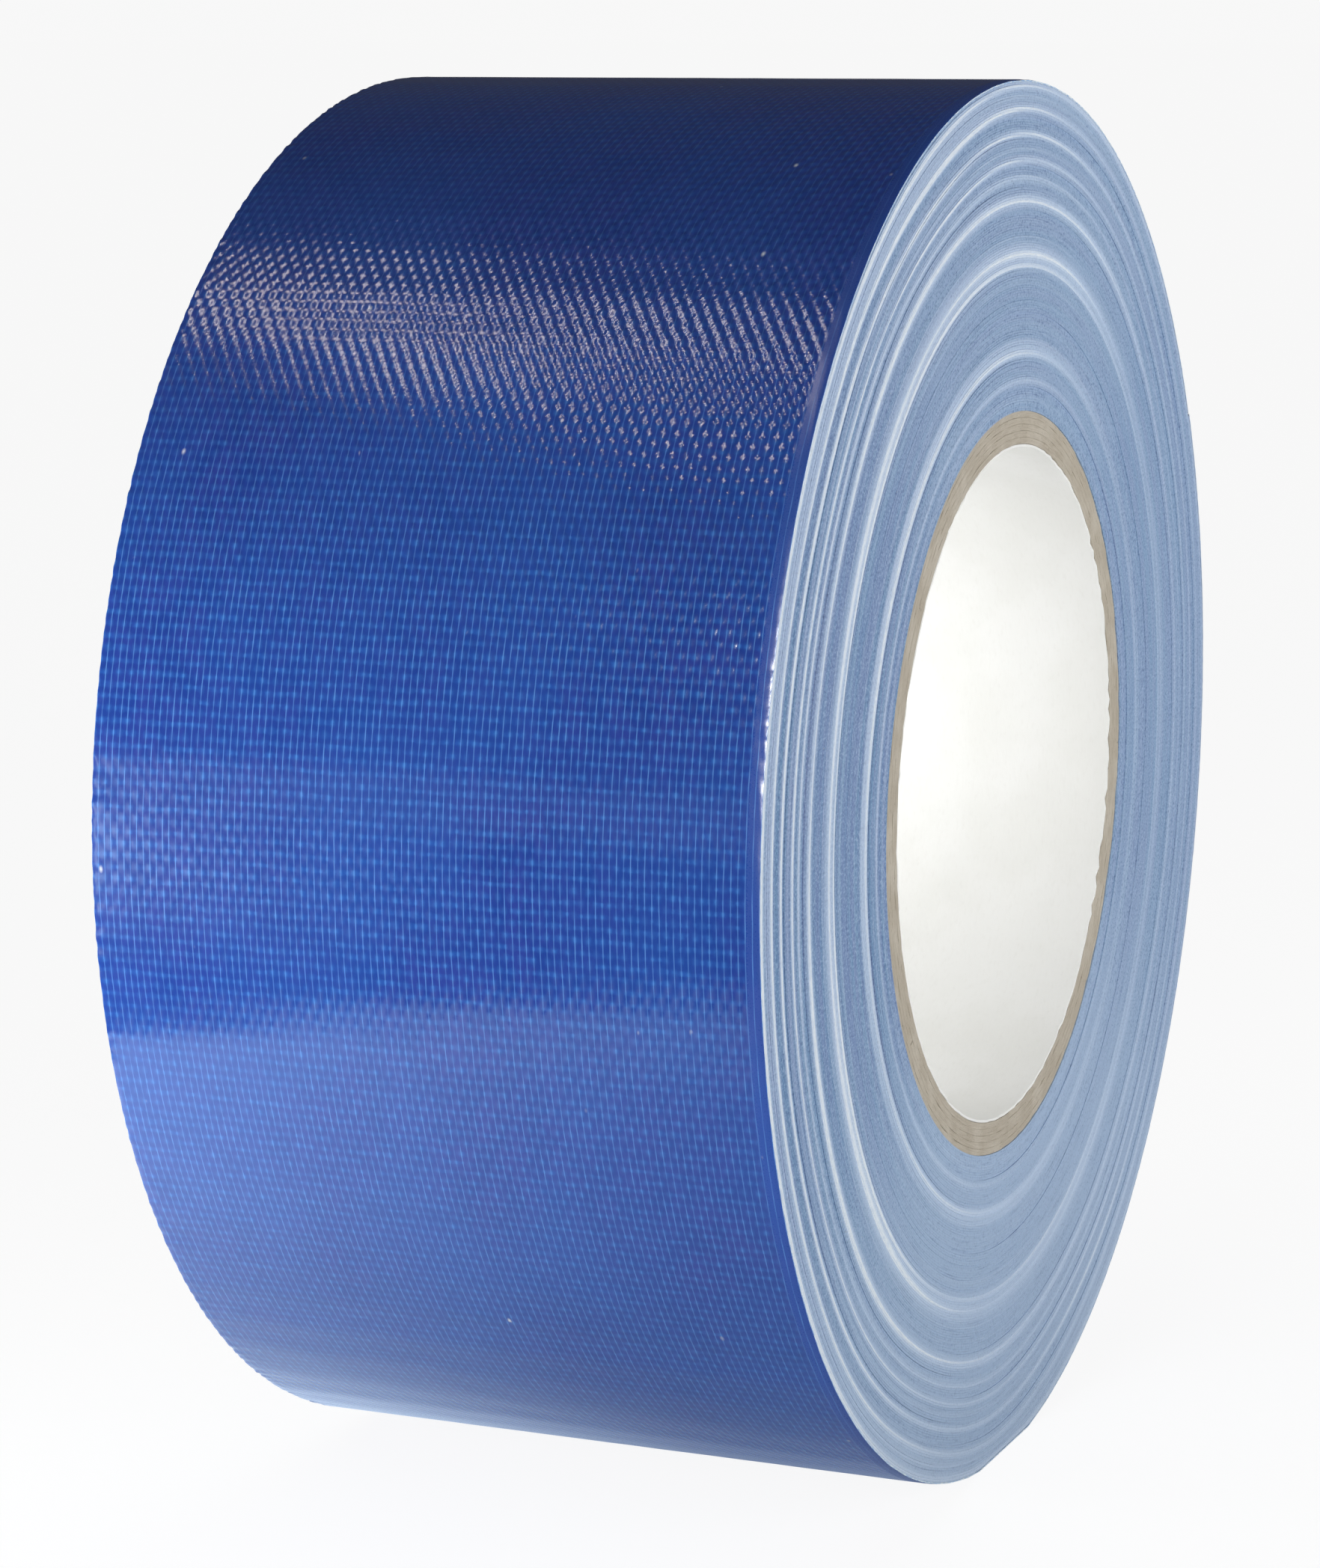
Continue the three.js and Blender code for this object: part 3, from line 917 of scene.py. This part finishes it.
def build_wound_groups():
    inner = TAPE_START_RADIUS
    for node in GROUP_NODES:
        wound_group(node, inner)
        inner = TAPE_START_RADIUS + turn_numbers(node)[1] * TURN_PITCH


# ---- Building the outer turn and its free end ----------------------------------------------------

strip_sway = wander(seed=17, slowest=40, fastest=90)
cross_sway = wander(seed=19, slowest=3, fastest=12)
far_edge_sway = wander(seed=23, slowest=150, fastest=330)
wrinkle_sway = wander(seed=29, slowest=180, fastest=340)


def strip_uv(angle, y):
    """The weave's own coordinates, in warp threads across and weft threads along the strip."""
    angle, y = np.broadcast_arrays(angle, y)
    return np.stack([y / WARP_PITCH, angle * WEFTS_PER_RADIAN], axis=-1)


def strip_rows():
    """The places of the rows of points across the strip, closest together at its edges."""
    start = STRIP_HALF_WIDTH - EDGE_ROWS
    middle = np.linspace(start[-1], -start[-1], MIDDLE_ROWS + 2)[1:-1]
    return np.concatenate([start, middle, -start[::-1]])


def strip_lumps(angle, y):
    """How far the film stands up from a true cylinder."""
    lumps = LUMP_HEIGHT * (strip_sway(angle) + 0.8 * strip_sway(angle + y / LUMP_SLANT))
    far_share = np.exp(-(STRIP_HALF_WIDTH - y) / FAR_LUMP_REACH)
    near_share = np.exp(-(STRIP_HALF_WIDTH + y) / WRINKLE_REACH)
    near_share = near_share * np.exp(-(((angle - WRINKLE_ANGLE) / WRINKLE_SPREAD) ** 2))
    lumps = lumps + FAR_LUMP_HEIGHT * far_edge_sway(angle) * far_share
    return lumps + WRINKLE_HEIGHT * wrinkle_sway(angle) * near_share


def strip_piece(name, start, end, columns, end_waver=0.0):
    """A stretch of the outer turn from one angle to another, with its underside and cut edges."""
    y = strip_rows()[None, :]
    waver = end_waver * cross_sway(y / STRIP_HALF_WIDTH * 2)
    angle = start + (end - end_waver + waver - start) * np.linspace(0, 1, columns)[:, None]
    outer = LAST_TURN_RADIUS + TURN_PITCH * spiral_share(angle) + STRIP_THICKNESS
    lumps = strip_lumps(angle, y)
    outer = np.minimum(outer + lumps, foot_limit("tape_outer_turn", angle))
    inset = STRIP_HALF_WIDTH - np.abs(y)
    rounded = sum(drop * np.exp(-inset / reach) for drop, reach in EDGE_ROUNDINGS)
    top = on_cylinder(outer - rounded, angle, y)
    bottom = on_cylinder(outer - lumps - STRIP_THICKNESS, angle, y)
    rings = np.concatenate([top, bottom[:, ::-1]], axis=1)
    side = y.shape[1] - 1
    slots = [FILM_SLOT] * side + [RIM_SLOT] + [ADHESIVE_SLOT] * side + [RIM_SLOT]
    uv = strip_uv(angle, y)
    uv = np.concatenate([uv, uv[:, ::-1]], axis=1)
    piece = tube_mesh(name, rings, False, [FILM, RIM, ADHESIVE], np.array(slots), uv)
    return piece


def free_end_link(link):
    """One link of the free end. It spans from mid-link to mid-link, so that neighbours match."""
    hinge = FREE_END_ANGLE + (link - 1) * FACET
    is_tip = link == LINK_COUNT
    start, end = hinge - FACET / 2, hinge + FACET / 2
    reach = hinge + FACET if is_tip else end
    waver = TIP_WAVER if is_tip else 0.0
    piece = strip_piece(f"free_end_strip_{link}", start, reach, LINK_COLUMNS, waver)
    bend_from, bend_to = on_cylinder(LAST_TURN_RADIUS, np.array([start, end]), 0.0)
    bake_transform(piece)
    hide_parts(f"free_end_{link}")


def build_outer_turn():
    start = STRIP_END_ANGLE + STEP_LENGTH / LAST_TURN_RADIUS
    stuck = strip_piece("outer_turn_strip", start, FREE_END_ANGLE - FACET / 2, STRIP_COLUMNS)
    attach(stuck, "roll")
    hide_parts("tape_outer_turn")
    for link in range(1, LINK_COUNT + 1):
        free_end_link(link)


# ---- Building the floor --------------------------------------------------------------------------


def flat_sheet(name, z, material, seen_by):
    """A flat sheet that isn't part of the object, seen by one kind of ray only."""
    reach = FLOOR_REACH
    corners = [(-reach, -reach, z), (reach, -reach, z), (reach, reach, z), (-reach, reach, z)]
    mesh = bpy.data.meshes.new(name)
    mesh.from_pydata(corners, [], [range(len(corners))])
    mesh.materials.append(material)
    sheet = add_object(name, mesh)
    sheet.visible_camera = seen_by == "camera"
    sheet.visible_glossy = seen_by == "glossy"
    sheet.visible_diffuse = seen_by == "diffuse"
    sheet.visible_shadow = False


def glowing_material(name, albedo, glow, tint=(1.0, 1.0, 1.0, 1.0)):
    """A matt surface that glows, as a light table does. glow makes the strength from its nodes."""
    m = MaterialNodes(name)
    m.shader.inputs["Emission Color"].default_value = tint
    m.feed(m.shader.inputs["Emission Strength"], glow(m))
    m.material.cycles.emission_sampling = "NONE"
    return m.finish((albedo, albedo, albedo, 1.0), 1.0, Specular_IOR_Level=0.0)


def even_glow(_):
    return FLOOR_GLOW


def shaded_glow(m):
    """The light from the floor, which falls off in the roll's own shade."""
    x, y, _ = m.parts(m.object_place())
    beside = m.math("MAXIMUM", m.subtract(m.math("ABSOLUTE", y), STRIP_HALF_WIDTH), 0.0)
    distance = m.length(x, m.times(beside, SHADE_NARROWING))
    return m.step(distance, SHADE_START, SHADE_REACH, low=0.0, high=BOUNCE_GLOW)


def table_glow(m):
    """The table as the film mirrors it: dark beyond its edge, and brighter towards its far side."""
    x, y, _ = m.parts(m.object_place())
    to_far_side = m.step(y, *TABLE_BRIGHTENS_OVER, TABLE_GLOW_NEAR, TABLE_GLOW_FAR)
    under_roll = m.step(x, *TABLE_DIMS_OVER, 1.0, TABLE_GLOW_UNDER_ROLL)
    across_edge = m.add(x, m.times(y, TABLE_EDGE_SLANT))
    outside, inside = TABLE_EDGE - TABLE_EDGE_SOFTNESS, TABLE_EDGE + TABLE_EDGE_SOFTNESS
    inside_edge = m.step(across_edge, outside, inside)
    return m.add(m.times(m.times(to_far_side, under_roll), inside_edge), TABLE_GLOW_BEYOND)


def build_floor():
    """The floor that the camera sees, the light it throws up, and the table in the film's gloss."""
    top = CAD_LOW.z - FLOOR_CLEARANCE
    under = top - SHEET_SPACING
    flat_sheet("floor", top, glowing_material("pale_floor", FLOOR_ALBEDO, even_glow), "camera")
    flat_sheet("floor_light", under, glowing_material("floor_light", 0.0, shaded_glow), "diffuse")
    gloss = glowing_material("table_gloss", 0.0, table_glow, TABLE_BLUE)
    flat_sheet("table_gloss", under, gloss, "glossy")


# ---- Building the world, the lights and the camera -----------------------------------------------


def build_world():
    """Surroundings that light the roll dimly, and that the camera sees as pale as the floor."""
    world = bpy.data.worlds.new("surroundings")
    world.use_nodes = True
    tree = world.node_tree
    place = tree.nodes.new("ShaderNodeTexCoord").outputs["Generated"]
    height = tree.nodes.new("ShaderNodeSeparateXYZ")
    ramp = tree.nodes.new("ShaderNodeMapRange")
    tree.links.new(place, height.inputs[0])
    tree.links.new(height.outputs[2], ramp.inputs[0])
    ramp.inputs["From Min"].default_value = WORLD_PALE_BELOW
    ramp.inputs["From Max"].default_value = WORLD_DIM_ABOVE
    ramp.inputs["To Min"].default_value = WORLD_PALE
    ramp.inputs["To Max"].default_value = WORLD_DIM
    to_camera = tree.nodes.new("ShaderNodeLightPath").outputs["Is Camera Ray"]
    seen = tree.nodes.new("ShaderNodeMix")
    tree.links.new(to_camera, seen.inputs[0])
    tree.links.new(ramp.outputs[0], seen.inputs[2])
    seen.inputs[3].default_value = WORLD_PALE
    tree.links.new(seen.outputs[0], tree.nodes["Background"].inputs["Color"])
    bpy.context.scene.world = world


def area_light(name, place, target, size, power, color, seen_by):
    """A rectangular light that the camera can't see, and that lights only gloss or only colour."""
    data = bpy.data.lights.new(name, "AREA")
    data.shape = "RECTANGLE"
    data.size, data.size_y = size
    data.energy = power
    data.color = color
    light = add_object(name, data)
    light.location = place
    light.rotation_euler = (Vector(place) - Vector(target)).to_track_quat("Z", "Y").to_euler()
    light.visible_camera = False
    light.visible_glossy = seen_by == "glossy"
    light.visible_diffuse = seen_by == "diffuse"


def overhead_light():
    """Even soft light from above, so that the floor is one shade and shows a soft shadow."""
    data = bpy.data.lights.new("overhead", "SUN")
    data.energy = OVERHEAD_POWER
    data.angle = OVERHEAD_SOFTNESS
    light = add_object("overhead", data)
    from_above = direction(OVERHEAD_AZIMUTH, OVERHEAD_ELEVATION)
    light.rotation_euler = from_above.to_track_quat("Z", "Y").to_euler()
    light.visible_glossy = False


def build_lights():
    for light in AREA_LIGHTS:
        area_light(*light)
    overhead_light()


def build_camera():
    data = bpy.data.cameras.new("camera")
    data.lens = CAMERA_LENS
    data.sensor_width = SENSOR_WIDTH
    data.sensor_fit = "HORIZONTAL"
    data.clip_start = 0.01
    data.clip_end = 100
    camera = add_object("camera", data)
    back = direction(CAMERA_AZIMUTH, CAMERA_ELEVATION)
    turn = (-back).to_track_quat("-Z", "Y")
    right = turn @ Vector((1, 0, 0))
    up = turn @ Vector((0, 1, 0))
    camera.location = right * AIM_RIGHT + up * AIM_UP + back * CAMERA_DISTANCE
    camera.rotation_euler = turn.to_euler()
    bpy.context.scene.camera = camera


build_core()
build_wound_groups()
build_outer_turn()
build_floor()
build_world()
build_lights()
build_camera()
bpy.context.scene.view_settings.view_transform = "Standard"
